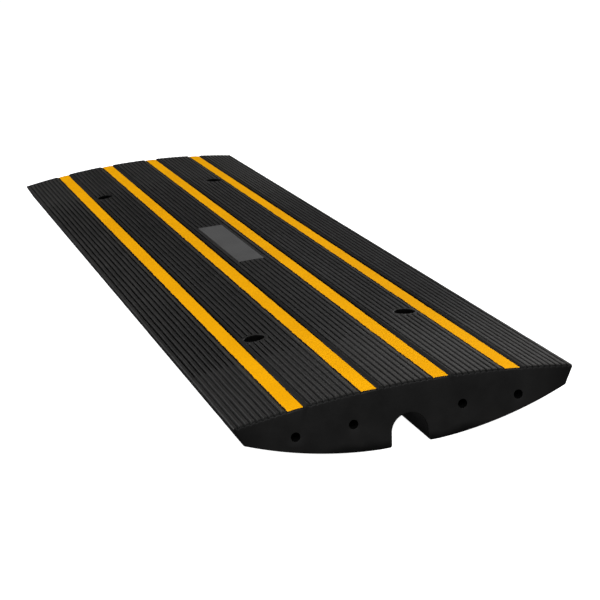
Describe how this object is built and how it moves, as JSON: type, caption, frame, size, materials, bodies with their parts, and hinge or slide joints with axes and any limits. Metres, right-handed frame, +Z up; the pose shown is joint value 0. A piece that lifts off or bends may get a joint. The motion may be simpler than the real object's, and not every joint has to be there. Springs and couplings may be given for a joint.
{
  "type": "cable protector ramp",
  "caption": "Ribbed rubber cable ramp with a convex underside, an open cable channel along it, inlaid yellow stripes, a blank centre plate, anchor holes and end dowel holes.",
  "frame": {"origin": "on the ground, under the middle of the ramp's length and width", "axes": "+X along the cable channel towards the near end, +Y across the ramp, to the right for someone facing the near end, +Z up"},
  "size_m": [1.22, 0.305, 0.056],
  "materials": {
    "black_rubber": "matte moulded rubber",
    "yellow_rubber": "matte granular yellow rubber",
    "plate_rubber": "smooth satin grey rubber",
    "washer_steel": "zinc-plated steel"
  },
  "bodies": {
    "root": {"ramp_body": "black_rubber", "stripe_outer_left": "yellow_rubber", "stripe_inner_left": "yellow_rubber", "stripe_inner_right": "yellow_rubber", "stripe_outer_right": "yellow_rubber", "centre_plate": "plate_rubber", "anchor_washer_near_right": "washer_steel", "anchor_washer_near_left": "washer_steel", "anchor_washer_far_right": "washer_steel", "anchor_washer_far_left": "washer_steel"}
  },
  "joints": []
}
